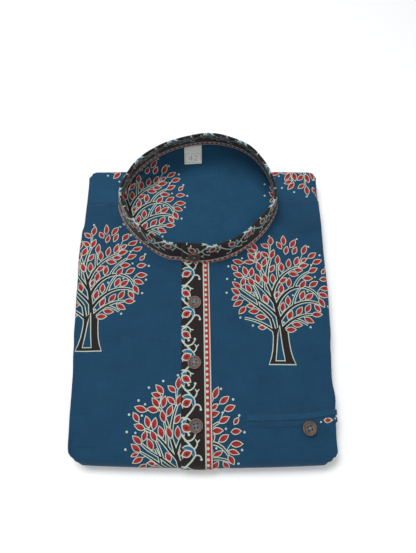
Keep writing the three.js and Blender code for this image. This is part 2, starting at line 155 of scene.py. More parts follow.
def front_place(u, v, lift=0.0):
    """A place on the front panel, from its flat places: u across and v up, both in millimetres."""
    y, z, out_y, out_z, roll = fold_path(v)
    inset = corner_inset(y)
    right, left = side_at(y, 1) - inset - roll, side_at(y, -1) + inset + roll
    if out_z < -0.99:
        lift = min(lift, 0.0)
    edge, sign = (right, 1) if u > right else (left, -1)
    over = (u - edge) * sign
    if over <= 0:
        x, depth = u, -lift
    elif over < pi * roll:
        x = edge + sign * (roll + lift) * sin(over / roll)
        depth = roll - (roll + lift) * cos(over / roll)
    else:
        x, depth = edge - sign * (over - pi * roll), 2 * roll + lift
    flatness = smooth(1 - over / (roll * 1.6)) if over > 0 else 1.0
    if v > -6:
        depth -= chest_relief(x, y if v > LOWER_FOLD else v) * flatness * smooth((v + 6) / 20)
    bow = BOW * (1 - (x / 118) ** 2) * min(1.0, max(0.0, 1 - y / 60))
    return Vector((x, y - bow - out_y * depth, max(0.0, z - out_z * depth)))


def in_row(place):
    """A place in the packet, in metres in the row's frame."""
    return Vector(((place.x + ORIGIN.x) * MM, (place.y + ORIGIN.y) * MM, place.z * MM))


# The lighter teal ground among these inks is painted light: it brightens the shaded floor of the neck on the back
# panel, and the raised upper welt.
INKS = {
    "teal": (0.0065, 0.0450, 0.0950), "deep": (0.0035, 0.0270, 0.0620), "red": (0.3200, 0.0200, 0.0210),
    "cream": (0.4100, 0.4900, 0.4200), "black": (0.0165, 0.0110, 0.0115), "vein": (0.0450, 0.0100, 0.0140),
    "sky": (0.0160, 0.1050, 0.2100), "painted_light_teal": (0.0080, 0.0540, 0.1120),
}


def ring(cx, cy, radius, count, start=0.0):
    return [Vector((cx + radius * cos(start + tau * k / count), cy + radius * sin(start + tau * k / count)))
            for k in range(count)]


def leaf_outline(base, heading, length, width, grow=0.0, bend=0.0):
    """A pointed oval leaf; grow makes it larger all round."""
    steps = 5
    along, across = Vector((cos(heading), sin(heading))), Vector((-sin(heading), cos(heading)))
    points = []
    for k in range(2 * steps):
        part = k / steps if k <= steps else (2 * steps - k) / steps
        side = 1 if k < steps else -1
        reach = mix(-grow * 1.3, length + grow * 1.5, part)
        half = (width / 2 + grow) * sin(pi * part ** 0.9) ** 0.9
        points.append(base + along * reach + across * (side * half + bend * sin(pi * part)))
    return points


def ribbon(points, widths):
    """The outline of a stroke through points with a width at each."""
    left, right = [], []
    for k, point in enumerate(points):
        along = (points[min(k + 1, len(points) - 1)] - points[max(k - 1, 0)]).normalized()
        across = Vector((-along.y, along.x)) * widths[k] / 2
        left.append(point + across)
        right.append(point - across)
    return left + right[::-1]


def stroke(points, width, tip=None):
    tip = width if tip is None else tip
    return ribbon(points, [mix(width, tip, k / (len(points) - 1)) for k in range(len(points))])


def growing(start, heading, length, turn, curl=0.0, steps=10):
    """A stem's points: it sets off at a heading, and turns by turn and then curl over its length."""
    points, at = [start.copy()], start.copy()
    for k in range(steps):
        part = (k + 0.5) / steps
        angle = heading + turn * part + curl * part * part
        at = at + Vector((cos(angle), sin(angle))) * length / steps
        points.append(at.copy())
    return points


# The printing block: a trunk on a forked foot, boughs that spring from it in turn, and leaves set along them.
CROWN = {"x": 1.0, "y": 80.0, "radius": 50.5, "lowest": 31.0}
LEAF = {"line": 0.62, "halo": 1.3, "gap": 0.7}
# Each bough: how far up the trunk, its heading, length, turn and later curl in degrees, and its width.
BOUGHS = [
    (0.40, 50, 36, -30, -22, 2.6), (0.50, 60, 52, -46, -50, 2.7), (0.58, 128, 46, 44, -30, 2.3),
    (0.64, 72, 58, -70, -74, 2.8), (0.74, 122, 42, 10, 30, 2.2), (0.83, 78, 44, -52, -14, 2.3),
    (0.92, 112, 32, -26, 46, 1.9), (1.00, 92, 27, -24, 0, 2.0),
]
# Twigs that fork from a bough: which bough, how far along it, heading to it, length and turn.
TWIGS = [(0, 0.50, -44, 14, -24), (1, 0.45, 46, 20, -30), (2, 0.48, -44, 17, 24), (3, 0.50, 48, 24, -50),
         (4, 0.45, -42, 20, 20), (5, 0.45, 46, 16, -20), (8, 0.42, -46, 17, 24)]


def tree_block():
    """Every printed shape of the tree in printing order, as (ink, outline), with the foot's middle at 0, 0."""
    halos, stalks, leaves, marks, taken = [], [], [], [], []
    trunk = growing(Vector((4.4, 1)), radians(99), 80, radians(-16), radians(30), steps=18)
    side_stem = growing(Vector((-7.4, 1)), radians(76), 43, radians(34), radians(-4), steps=10)
    stems = [(trunk, [mix(6.4, 2.0, (k / 18) ** 0.8) for k in range(19)]),
             (side_stem, [mix(3.6, 2.0, k / 10) for k in range(11)])]
    boughs = []
    for part, heading, length, turn, curl, width in BOUGHS:
        boughs.append((trunk[round(part * 18)], heading, length, turn, curl, width))
    boughs.append((side_stem[-1], 126, 38, 50, -34, 2.2))
    boughs.append((side_stem[-4], 136, 31, 44, -10, 1.8))
    for root, heading, length, turn, curl, width in boughs:
        points = growing(root, radians(heading), length, radians(turn), radians(curl), steps=12)
        stems.append((points, [mix(width, 0.9, (k / 12) ** 1.2) for k in range(13)]))
    for bough, part, aside, length, turn in TWIGS:
        points = stems[2 + bough][0]
        k = round(part * 12)
        heading = atan2(*(points[k] - points[k - 1]).yx) + radians(aside)
        twig = growing(points[k], heading, length, radians(turn), steps=7)
        stems.append((twig, [1.3 - 0.07 * j for j in range(8)]))
    wood = [(point, widths[k] / 2 + 0.8) for points, widths in stems for k, point in enumerate(points)]
    centre = Vector((CROWN["x"], CROWN["y"]))

    def spots_of(base, heading, length, width):
        along = Vector((cos(heading), sin(heading)))
        reaches = [width * 0.30, width * 0.54, width * 0.30]
        return [(base + along * length * part, reach) for part, reach in zip((0.14, 0.5, 0.86), reaches)]

    def room_for(spots):
        if any((spot - centre).length > CROWN["radius"] - 1 or spot.y < CROWN["lowest"] for spot, _ in spots):
            return False
        if any((spot - at).length < reach + wide for spot, reach in spots for at, wide in wood):
            return False
        return all((a - b).length > ra + rb + LEAF["gap"] for a, ra in spots for b, rb in taken)

    def add_leaf(base, heading, length, width, root=None):
        along = Vector((cos(heading), sin(heading)))
        aside = Vector((-along.y, along.x)) * width * 0.2
        taken.extend(spots_of(base, heading, length, width))
        halos.append(("deep", leaf_outline(base, heading, length, width, LEAF["halo"])))
        leaves.append(("cream", leaf_outline(base, heading, length, width, LEAF["line"])))
        leaves.append(("red", leaf_outline(base, heading, length, width, -0.12)))
        notch = base + along * length * 0.10
        marks.append(("vein", stroke([notch, notch + along * length * 0.42], 0.7, 0.2)))
        marks.append(("vein", stroke([notch + aside + along * length * 0.22,
                                      notch + aside + along * length * 0.5], 0.45, 0.15)))
        if root is not None:
            stalks.append(("cream", stroke([root, root.lerp(base, 0.5) + aside * 0.5, base], 0.7)))

    def nearest_wood(base):
        return min((at for at, _ in wood), key=lambda at: (at - base).length)

    # A leaf at the tip of every bough and twig, then the rim of the crown, leaf by leaf.
    for points, _ in stems[2:] + [stems[0]]:
        heading = atan2(*(points[-1] - points[-2]).yx)
        spots = spots_of(points[-1] + (points[-1] - points[-2]).normalized() * 0.8, heading, 9.4, 4.6)
        inside = all((spot - centre).length < CROWN["radius"] and spot.y > CROWN["lowest"] for spot, _ in spots)
        if inside and all((a - b).length > ra + rb for a, ra in spots for b, rb in taken):
            add_leaf(points[-1], heading, 9.8, 4.7)
    rim = 37
    for k in range(rim):
        angle = radians(-90 + (k + 0.5) * 360 / rim)
        length = 10.0 + 0.9 * sin(k * 2.4)
        base = centre + Vector((cos(angle), sin(angle))) * (CROWN["radius"] - length + 0.4)
        tilt = angle + 0.26 * sin(k * 1.9)
        near = nearest_wood(base)
        if room_for(spots_of(base, tilt, length, 4.8)):
            add_leaf(base, tilt, length, 4.8, near.lerp(base, 0.1) if (near - base).length < 18 else None)
    # Leaves along the boughs on both sides, the large ones first, wherever there is room.
    for length, width in ((9.6, 4.8), (8.4, 4.4), (6.8, 3.8)):
        for points, widths in stems[2:] + stems[:2]:
            for k in range(1, len(points)):
                heading = atan2(*(points[k] - points[k - 1]).yx)
                for side in (1, -1):
                    across = Vector((-sin(heading), cos(heading))) * side
                    for spread in (0.8, 1.2, 0.45, 1.6):
                        angle = heading + side * spread
                        base = points[k] + across * (widths[k] / 2 + 1.2) + Vector((cos(angle), sin(angle)))
                        if room_for(spots_of(base, angle, length, width)):
                            add_leaf(base, angle, length, width, points[k])
    # Small leaves and dots fill what is left.
    for length, width in ((8.6, 4.4), (6.2, 3.6)):
        for k in range(150):
            angle, reach = k * 2.39996, 3.9 * sqrt(k + 0.5)
            base = centre + Vector((cos(angle), sin(angle))) * reach
            for lean in (0.0, 0.7, -0.7):
                if room_for(spots_of(base, angle + lean, length, width)):
                    near = nearest_wood(base)
                    add_leaf(base, angle + lean, length, width, near if (near - base).length < 12 else None)
    for k in range(20):
        angle = radians(-58 + k * 296 / 19)
        spot = centre + Vector((cos(angle), sin(angle))) * (CROWN["radius"] + 2.0 - 1.5 * (k % 2))
        if all((spot - at).length > reach + 1.6 for at, reach in taken):
            marks.append(("cream", ring(spot.x, spot.y, 1.1, 8)))
    for k in range(120):
        angle, reach = k * 2.39996, 4.2 * sqrt(k + 0.5)
        spot = centre + Vector((cos(angle), sin(angle))) * reach
        near = (spot - nearest_wood(spot)).length
        if spot.y > CROWN["lowest"] + 4 and near > 3 and all((spot - at).length > wide + 2.2 for at, wide in taken):
            marks.append(("cream", ring(spot.x, spot.y, 1.0, 8)))
            taken.append((spot, 2.5))
    outlines = [("cream", ribbon(points, [width + 1.7 for width in widths])) for points, widths in stems]
    woods = [("black", ribbon(points, widths)) for points, widths in stems]
    return halos + stalks + outlines + tree_foot(0.9, "cream") + woods + tree_foot(0.0, "black") \
        + opening(0.8, "cream") + opening(0.0, "teal") + leaves + marks


def tree_foot(grow, ink):
    """The flared foot that both stems stand on."""
    side = [(12.0, 0.0), (9.6, 6.0), (8.0, 13.0), (7.0, 22.0), (6.4, 33.0)]
    right = [Vector((x + grow, y - (grow if y == 0 else 0))) for x, y in side]
    left = [Vector((-x - grow, y - (grow if y == 0 else 0))) for x, y in side]
    return [(ink, right + [Vector((0, 36))] + left[::-1])]


def opening(grow, ink):
    """The gap between the stems, with the cloth's own colour in it."""
    shape = [(-5.6, 3.4), (2.2, 3.4), (0.6, 14.0), (-0.4, 26.0), (-1.3, 36.0), (-2.6, 26.0), (-4.0, 14.0)]
    middle = Vector((-1.8, 12.0))
    grown = []
    for x, y in shape:
        away = Vector((x, y)) - middle
        grown.append(Vector((x + grow * (1 if away.x > 0 else -1), y + grow * (2.0 if away.y > 0 else -1))))
    return [(ink, grown)]


TREE = tree_block()


def printed(places):
    """The tree block printed at each place, which is the middle of its foot."""
    return [(ink, [Vector((x + p.x, y + p.y)) for p in outline]) for x, y in places for ink, outline in TREE]


def counter_clockwise(outline):
    area = sum(a.x * b.y - b.x * a.y for a, b in zip(outline, outline[1:] + outline[:1]))
    return outline if area > 0 else outline[::-1]


def divided(outline, longest=3.0):
    """An outline with its long edges divided, so that each follows the cloth's bends."""
    points = []
    for a, b in zip(outline, outline[1:] + outline[:1]):
        parts = max(1, round((b - a).length / longest))
        points.extend(a.lerp(b, k / parts) for k in range(parts))
    return points


def winds_round(polygon, x, y):
    """Whether a closed outline goes round a place, even where it crosses itself."""
    turns, last = 0, polygon[-1]
    for point in polygon:
        if (last[1] <= y) != (point[1] <= y):
            beyond = (point[0] - last[0]) * (y - last[1]) - (x - last[0]) * (point[1] - last[1])
            if point[1] > last[1] and beyond < 0:
                turns += 1
            elif point[1] < last[1] and beyond > 0:
                turns -= 1
        last = point
    return turns != 0


PRINT_CELL = 4.0


def cut_cloth(name, outline, shapes, spots, place, ground="teal"):
    """Cuts a sheet with its print from the flat cloth and lays it in its place. outline is the cut's edge, shapes
    the printed outlines in printing order, spots the points between them, and place says where a flat point lies."""
    low = Vector((min(p.x for p in outline), min(p.y for p in outline)))
    high = Vector((max(p.x for p in outline), max(p.y for p in outline)))
    edge = divided(counter_clockwise(outline))
    points, edges = list(edge), [(k, (k + 1) % len(edge)) for k in range(len(edge))]
    prints, cells = [], {}
    for ink, polygon in shapes:
        across, along = [p.x for p in polygon], [p.y for p in polygon]
        box = (min(across), max(across), min(along), max(along))
        if box[1] < low.x or box[0] > high.x or box[3] < low.y or box[2] > high.y:
            continue
        polygon = divided(polygon)
        first, count = len(points), len(polygon)
        points.extend(polygon)
        edges.extend((first + k, first + (k + 1) % count) for k in range(count))
        for i in range(int(box[0] // PRINT_CELL), int(box[1] // PRINT_CELL) + 1):
            for j in range(int(box[2] // PRINT_CELL), int(box[3] // PRINT_CELL) + 1):
                cells.setdefault((i, j), []).append(len(prints))
        prints.append((ink, box, [(p.x, p.y) for p in polygon]))
    points.extend(spots)
    flat, _, cut, _, _, sources = delaunay_2d_cdt(points, edges, [list(range(len(edge)))], 0, 1e-4, True)

    def ink_at(x, y):
        for k in reversed(cells.get((int(x // PRINT_CELL), int(y // PRINT_CELL)), ())):
            ink, box, polygon = prints[k]
            if box[0] <= x <= box[1] and box[2] <= y <= box[3] and winds_round(polygon, x, y):
                return ink
        return ground

    kept = [corners for corners, found in zip(cut, sources) if found]
    colours = [ink_at(*(sum(flat[k][axis] for k in corners) / len(corners) for axis in (0, 1))) for corners in kept]
    used = sorted({k for corners in kept for k in corners})
    new = {k: i for i, k in enumerate(used)}
    mesh = bpy.data.meshes.new(name)
    mesh.from_pydata([in_row(place(*flat[k])) for k in used], [], [[new[k] for k in c] for c in kept])
    piece = bpy.data.objects.new(name, mesh)
    bpy.context.collection.objects.link(piece)
    mesh.shade_smooth()
    cloth = mesh.attributes.new("cloth", "FLOAT_VECTOR", "POINT")
    for i, k in enumerate(used):
        cloth.data[i].vector = (flat[k].x, flat[k].y, 0)
    ink = mesh.color_attributes.new("ink", "FLOAT_COLOR", "CORNER")
    bake = mesh.uv_layers.new(name="OFBake")
    span = high - low
    for face, colour in zip(mesh.polygons, colours):
        tint = (*INKS[colour], 1)
        for loop in face.loop_indices:
            ink.data[loop].color = tint
            spot = flat[used[mesh.loops[loop].vertex_index]]
            bake.data[loop].uv = ((spot.x - low.x) / span.x, (spot.y - low.y) / span.y)
    return piece


def grid_spots(columns, rows):
    return [Vector((u, v)) for u in columns for v in rows]


def steps_between(low, high, step):
    count = max(1, round((high - low) / step))
    return [mix(low, high, k / count) for k in range(count + 1)]


def cotton(name, weave=0.62, mottle=0.22, slub=0.30, bump=0.22):
    """Plain-weave cotton with slubs, uneven dye and a soft nap, in the colours of the print."""
    material = bpy.data.materials.new(name)
    material.use_nodes = True
    nodes, links = material.node_tree.nodes, material.node_tree.links
    shader = nodes["Principled BSDF"]
    shader.inputs["Roughness"].default_value = 0.86
    shader.inputs["Specular IOR Level"].default_value = 0.18
    shader.inputs["Sheen Weight"].default_value = 0.12
    shader.inputs["Sheen Roughness"].default_value = 0.5

    def node(kind, **settings):
        made = nodes.new(kind)
        for key, value in settings.items():
            if key in made.inputs:
                made.inputs[key].default_value = value
            else:
                setattr(made, key, value)
        return made

    def maths(operation, first, second):
        made = nodes.new("ShaderNodeMath")
        made.operation = operation
        for socket, value in zip(made.inputs, (first, second)):
            if isinstance(value, (int, float)):
                socket.default_value = value
            else:
                links.new(value, socket)
        return made.outputs[0]

    ink = node("ShaderNodeAttribute", attribute_name="ink")
    flat = node("ShaderNodeAttribute", attribute_name="cloth")

    def scaled(x, y):
        mapping = nodes.new("ShaderNodeMapping")
        mapping.inputs["Scale"].default_value = (x, y, 1)
        links.new(flat.outputs["Vector"], mapping.inputs["Vector"])
        return mapping.outputs["Vector"]

    def patches(x, y, detail=3.0):
        made = node("ShaderNodeTexNoise", Scale=1.0, Detail=detail)
        links.new(scaled(x, y), made.inputs["Vector"])
        return made.outputs["Fac"]

    # The weave: raised threads one way and the other, in turn.
    def threads(x, y):
        wave = node("ShaderNodeTexWave", Scale=1.0, Distortion=0.6, Detail=1.0)
        wave.bands_direction = "X" if x else "Y"
        wave.inputs["Detail Scale"].default_value = 0.4
        links.new(scaled(x or 0.05, y or 0.05), wave.inputs["Vector"])
        return wave.outputs["Fac"]

    warp, weft = threads(0.50 / weave, 0), threads(0, 0.50 / weave)
    woven = maths("MAXIMUM", warp, weft)
    slubs = maths("ADD", patches(0.9, 0.05, 2.0), patches(0.05, 0.9, 2.0))
    cloud = patches(0.045, 0.05, 4.0)
    speckle = patches(0.55, 0.6, 2.0)
    # Dye: uneven over centimetres, with threads that took more or less of it.
    tone = maths("MULTIPLY_ADD", maths("SUBTRACT", cloud, 0.5), mottle * 2)
    tone.node.inputs[2].default_value = 1.0
    grain = maths("MULTIPLY_ADD", maths("SUBTRACT", slubs, 1.0), slub)
    grain.node.inputs[2].default_value = 1.0
    dots = maths("MULTIPLY_ADD", maths("SUBTRACT", speckle, 0.5), 0.30)
    dots.node.inputs[2].default_value = 1.0
    shade = maths("MULTIPLY", maths("MULTIPLY", tone, grain), dots)
    fine = maths("MULTIPLY_ADD", woven, 0.22)
    fine.node.inputs[2].default_value = 0.85
    shade = maths("MULTIPLY", shade, fine)
    colour = nodes.new("ShaderNodeVectorMath")
    colour.operation = "SCALE"
    links.new(ink.outputs["Color"], colour.inputs[0])
    links.new(shade, colour.inputs["Scale"])
    links.new(colour.outputs["Vector"], shader.inputs["Base Color"])
    height = maths("ADD", maths("MULTIPLY", woven, 0.5), maths("MULTIPLY", slubs, 0.7))
    raised = node("ShaderNodeBump", Strength=bump, Distance=0.0004)
    links.new(height, raised.inputs["Height"])
    links.new(raised.outputs["Normal"], shader.inputs["Normal"])
    return material


COTTON = cotton("printed_cotton")
WALL = 0.5 * MM


def finish_sheet(piece, material, wall=WALL):
    """Gives a cut sheet its material and its own thickness, inwards from its face."""
    piece.data.materials.append(material)
    shell = piece.modifiers.new("thickness", "SOLIDIFY")
    shell.thickness = wall
    shell.offset = -1
    bpy.context.view_layer.objects.active = piece
    piece.select_set(True)
    bpy.ops.object.modifier_apply(modifier=shell.name)
    piece.select_set(False)
    for corner in piece.data.vertices:
        corner.co.z = max(0.0, corner.co.z)


def shoulder_seam(x):
    return SHOULDER_SEAM["y"] + SHOULDER_SEAM["tilt"] * (x - NECK["x"])


bpy.ops.object.select_all(action="DESELECT")
tail_end = LOWER_FOLD * (1 - pi) - (TAIL["y"] - LOWER_FOLD) - pi * TAIL["radius"]


def front_reach(v):
    """How far the flat cloth reaches left and right at v: round the side fold, and a little further."""
    y, _, _, _, roll = fold_path(v)
    inset = corner_inset(y)
    around = (pi - 1) * roll
    return side_at(y, -1) + inset - around, side_at(y, 1) - inset + around


front_rows = steps_between(tail_end, 250, 6)
front_edge = [Vector((front_reach(v)[1], v)) for v in front_rows]
front_edge += [Vector((front_reach(v)[0], v)) for v in reversed(front_rows)]
right_end, left_end = front_reach(250)[1], front_reach(250)[0]
seam_run = []
for degree in range(266, 361 + 90, 3):
    place = neck_seam(radians(degree), 0.6)
    if place.y < shoulder_seam(place.x):
        seam_run.append(Vector((place.x, place.y)))
front_top = [Vector((x, shoulder_seam(x))) for x in steps_between(right_end, seam_run[-1].x, 6)]
front_top += seam_run[::-1]
front_top += [Vector((x, shoulder_seam(x))) for x in steps_between(seam_run[0].x, left_end, 6)]
half_way = len(front_rows)
front_edge = front_edge[:half_way] + front_top + front_edge[half_way:]

FRONT_TREES = [
    (72, 86), (-108.5, 99), (-18, -56), (170, -60), (-200, -46), (72, -196), (-108, -190), (-18, -338),
]
side_columns = [side * (102 + 1.4 * k) for side in (1, -1) for k in range(24)]
front_spots = grid_spots(steps_between(-100, 100, 4), steps_between(-32, 256, 3.6))
front_spots += grid_spots(side_columns, steps_between(tail_end, 256, 4.5))
front_spots += grid_spots(steps_between(-98, 98, 6), steps_between(tail_end, -34, 6))
front_panel = cut_cloth("front_panel_cloth", front_edge, printed(FRONT_TREES), front_spots, front_place)
finish_sheet(front_panel, COTTON)
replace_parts(front_panel, "front_panel")
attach(front_panel, "root")


# ------------------------------------------------------------------------------------------------
# Back panel: the same printed cotton. Over the shoulders it folds forward to the shoulder seams, and in
# the neck its inside is the floor, which climbs at the back to the collar's seam.
# ------------------------------------------------------------------------------------------------
FLOOR_FACE = {"front": 165.0, "height": 23.4, "drop": 1.6}
SHOULDER_ROLL = 2.6
TOP_FOLD = 294.0
BACK_TREES = [(-72, 17), (114, 31), (20, -118), (-166, -117)]


def back_neck_angle(x):
    """The angle round the back of the neck where its seam passes over x, or None over the shoulders."""
    low, high = RIGHT_MEETS, LEFT_MEETS
    if x > neck_seam(low, 1.2).x or x < neck_seam(high, 1.2).x:
        return None
    for _ in range(22):
        middle = (low + high) / 2
        if neck_seam(middle, 1.2).x > x:
            low = middle
        else:
            high = middle
    return low


def meets_shoulder(angle, step):
    while True:
        place = neck_seam(angle, 1.2)
        if place.y > shoulder_seam(place.x) + 0.3:
            return angle
        angle += step


RIGHT_MEETS = meets_shoulder(pi / 2, radians(0.25))
LEFT_MEETS = meets_shoulder(3 * pi / 2, -radians(0.25))


def back_column(x):
    """The back panel's way at x: from the floor of the neck, over the fold, to the seam."""
    edge = min(x - side_at(280, -1), side_at(280, 1) - x)
    reach = min(1.0, max(0.0, 1 - edge / SHOULDER_ROLL))
    half = SHOULDER_ROLL * sqrt(1 - reach * reach)
    middle = TOP - SHOULDER_ROLL
    fold = TOP_FOLD - half - corner_inset(edge)
    angle = back_neck_angle(x)
    raised = smooth((neck_seam(angle, 1.2).y - 270) / 36) if angle is not None else 0.0
    if angle is not None:
        end = neck_seam(angle, 1.2 + 1.2 * raised)
        end.z = mix(TOP, end.z, raised)
    else:
        end = Vector((x, shoulder_seam(x), middle + half))
    column = []
    for y in (165, 185, 205, 225, 245, 258, 268):
        wave = noise.noise(Vector((x / 42, y / 36, 21.0))) * 1.2 * smooth((y - 165) / 30)
        covered = hypot((x - NECK["x"]) / NECK["half"], min(0.0, y - NECK["y"]) / NECK["front"]) - 1.0
        height = FLOOR_FACE["height"] - FLOOR_FACE["drop"] * (y - 165) / 129 + wave - 3.0 * smooth(covered / 0.3)
        column.append(Vector((x, y, mix(middle - half, height, smooth(edge / 8)) if edge < 8 else height)))
    lower = column[-1].z
    for k in range(13):
        part = k / 12
        turn = pi * (part - 0.5)
        rolled = Vector((x, fold + half * cos(turn), mix(lower, middle + half, (1 + sin(turn)) / 2)))
        climb_y = mix(min(fold, end.y - 8), end.y, 1 - (1 - part) ** 1.6)
        climb = Vector((x, climb_y, mix(lower, end.z - 2.4, part ** 1.7)))
        column.append(rolled.lerp(climb, raised))
    start = column[-1].copy()
    column += [start.lerp(end, k / 6) for k in range(1, 7)]
    for point in column[-7:]:
        if point.y < TOP_FOLD - 4:
            point.z += chest_relief(x, point.y) * (1 - raised) * smooth((TOP_FOLD - 2 - point.y) / 14)
    return column


def measured(points):
    """The running length along points."""
    lengths = [0.0]
    for a, b in zip(points, points[1:]):
        lengths.append(lengths[-1] + (b - a).length)
    return lengths


back_left, back_right = side_at(280, -1) + 0.3, side_at(280, 1) - 0.3
BACK_STEP = 1.5
back_places = steps_between(back_left, back_right, BACK_STEP)
back_columns = [(points, measured(points)) for points in map(back_column, back_places)]


def along_column(column, v):
    points, lengths = column
    k = 1
    while k < len(lengths) - 1 and lengths[k] < v:
        k += 1
    return points[k - 1].lerp(points[k], (v - lengths[k - 1]) / (lengths[k] - lengths[k - 1]))


def back_place(u, v, lift=0.0):
    """A place on the back panel from its flat places: u across, v from the floor's front edge."""
    at = (u - back_left) / (back_right - back_left) * (len(back_columns) - 1)
    k = min(len(back_columns) - 2, max(0, int(at)))
    low, high = along_column(back_columns[k], v), along_column(back_columns[k + 1], v)
    place = low.lerp(high, at - k)
    if lift:
        ahead = along_column(back_columns[k], v + 1.0) - low
        place += Vector((0, -ahead.z, ahead.y)).normalized() * lift
    return place


back_edge = [Vector((back_left, 0)), Vector((back_right, 0))]
back_edge += [Vector((back_right, v)) for v in range(12, 160, 12)]
back_edge += [Vector((x, lengths[-1])) for x, (_, lengths) in reversed(list(zip(back_places, back_columns)))]
back_edge += [Vector((back_left, v)) for v in range(156, 0, -12)]
back_spots = grid_spots(steps_between(back_left + 1.5, back_right - 1.5, 4), steps_between(3, 120, 4))
back_spots += grid_spots(steps_between(back_left + 1, back_right - 1, 3), steps_between(121, 170, 1.4))
# Its ground is a lighter teal, painted light that brightens the floor of the neck where the collar shades it.
back_panel = cut_cloth("back_panel_cloth", back_edge, printed(BACK_TREES), back_spots, back_place,
                       ground="painted_light_teal")
for face in back_panel.data.polygons:
    face.flip()
finish_sheet(back_panel, COTTON)
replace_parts(back_panel, "back_panel")
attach(back_panel, "root")

# ------------------------------------------------------------------------------------------------
# Folded layers: the sleeves, the tail and the side parts inside the packet, of the same cotton. Only
# their rounded folds show, between the folds of the front panel.
# ------------------------------------------------------------------------------------------------
# Each fold of layers: its lowest and highest z, the y where it starts and ends, its inset and its corner.
FOLDS = [
    (1.0, 4.2, 14, 285, 1.0, 6), (3.9, 7.4, 15, 288, 1.6, 7), (8.2, 12.0, 12, 290, 0.6, 7),
    (12.0, 15.8, 13, 287, 1.7, 6), (16.4, 20.2, 13, 290, 1.2, 6),
]


def fold_outline(front, back, inset, corner):
    """The outline of a fold seen from above: places and the way each faces."""
    outline = []
    corners = [(side_at(front, -1) + inset + corner, front + corner, 180),
               (side_at(front, 1) - inset - corner, front + corner, 270),
               (side_at(back, 1) - inset - corner, back - corner, 0),
               (side_at(back, -1) + inset + corner, back - corner, 90)]
    for k, (x, y, start) in enumerate(corners):
        for step in range(7):
            angle = radians(start + 15 * step)
            outline.append((x + corner * cos(angle), y + corner * sin(angle), angle))
        if k in (0, 2):
            x_next = corners[(k + 1) % 4][0]
            way = 1 if x_next > x else -1
            for part in range(1, 40):
                outline.append((mix(x, x_next, part / 40), front if k == 0 else back, -pi / 2 if way > 0 else pi / 2))
        if k == 1:
            for part in range(1, 50):
                y_at = mix(front + corner, back - corner, part / 50)
                outline.append((side_at(y_at, 1) - inset, y_at, 0.0))
        if k == 3:
            for part in range(49, 0, -1):
                y_at = mix(front + corner, back - corner, part / 50)
                outline.append((side_at(y_at, -1) + inset, y_at, pi))
    return outline


fold_points, fold_faces, fold_cloth = [], [], []
for number, (low, high, front, back, inset, corner) in enumerate(FOLDS):
    outline = fold_outline(front, back, inset, corner)
    roll, rings, first = (high - low) / 2, 10, len(fold_points)
    for ring_number in range(rings + 1):
        turn = pi * (ring_number / rings - 0.5)
        for x, y, facing in outline:
            slack = noise.noise(Vector((x / 16, y / 22, number * 7.0))) * 0.7 * cos(turn)
            moved = roll * (1 - cos(turn)) + 0.4 + slack * 0.8
            height = (low + high) / 2 + roll * sin(turn) + slack * 0.35
            fold_points.append(Vector((x - moved * cos(facing), y - moved * sin(facing), height)))
            fold_cloth.append((x + number * 90 + roll * turn * cos(facing), y + roll * turn * sin(facing), 0))
    count = len(outline)
    for ring_number in range(rings):
        for k in range(count):
            a, b = first + ring_number * count + k, first + ring_number * count + (k + 1) % count
            fold_faces.append((a, b, b + count, a + count))
    fold_faces.append(tuple(range(first, first + count))[::-1])
    fold_faces.append(tuple(range(first + rings * count, first + (rings + 1) * count)))
fold_mesh = bpy.data.meshes.new("folded_layers_cloth")
fold_mesh.from_pydata([in_row(point) for point in fold_points], [], fold_faces)
folded_layers = bpy.data.objects.new("folded_layers_cloth", fold_mesh)
bpy.context.collection.objects.link(folded_layers)
fold_mesh.shade_smooth()
flat_places = fold_mesh.attributes.new("cloth", "FLOAT_VECTOR", "POINT")
flat_places.data.foreach_set("vector", [value for place in fold_cloth for value in place])
fold_ink = fold_mesh.color_attributes.new("ink", "FLOAT_COLOR", "CORNER")
fold_ink.data.foreach_set("color", [value for _ in fold_ink.data for value in (*INKS["teal"], 1)])
fold_mesh.materials.append(COTTON)
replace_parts(folded_layers, "folded_layers")
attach(folded_layers, "root")

# ------------------------------------------------------------------------------------------------
# Stand collar: one strip of black border cloth with a scrolling vine, folded over its top edge and
# interlined, so that it stands. Its left end laps over its right one at the centre front.
# ------------------------------------------------------------------------------------------------
COLLAR = {"height": 28.0, "lean": radians(10), "curl": 5.0, "over_end": radians(-11), "under_end": radians(368),
          "step": 2.4, "half": 0.95}
BORDER = {"width": 28.0, "stripe": 21.2, "red": 22.3, "line": 26.4, "edge": 27.5, "dots": 5.1}
VINE = {"repeat": 41.0, "middle": 5.6, "swing": 6.6}


def band(low, high, start, end):
    return [Vector((low, start)), Vector((high, start)), Vector((high, end)), Vector((low, end))]


def bud(base, heading, length=8.2, width=5.8):
    angle = radians(heading)
    along, aside = Vector((cos(angle), sin(angle))), Vector((-sin(angle), cos(angle)))
    shapes = [("cream", leaf_outline(base, angle, length, width, 0.95)),
              ("red", leaf_outline(base, angle, length, width, -0.05)),
              ("vein", leaf_outline(base + along * length * 0.28, angle, length * 0.4, width * 0.26, 0.0))]
    for side in (1, -1):
        shapes.append(("cream", stroke([base, base - along * 1.4 + aside * side * 2.1], 1.2, 0.8)))
    return shapes


def crescent(centre, start, sweep, radius=5.6, width=2.2):
    """A curved leaf that hugs a bud, cream outside and teal within."""
    outer, inner = [], []
    for k in range(9):
        angle = radians(start + sweep * k / 8)
        swell = sin(pi * k / 8)
        outer.append(centre + Vector((cos(angle), sin(angle))) * radius)
        inner.append(centre + Vector((cos(angle), sin(angle))) * (radius - 0.5 - width * swell))
    grown = [centre + (p - centre) * 1.16 for p in outer] + [centre + (p - centre) * 0.93 for p in inner[::-1]]
    return [("cream", grown), ("sky", outer + inner[::-1])]


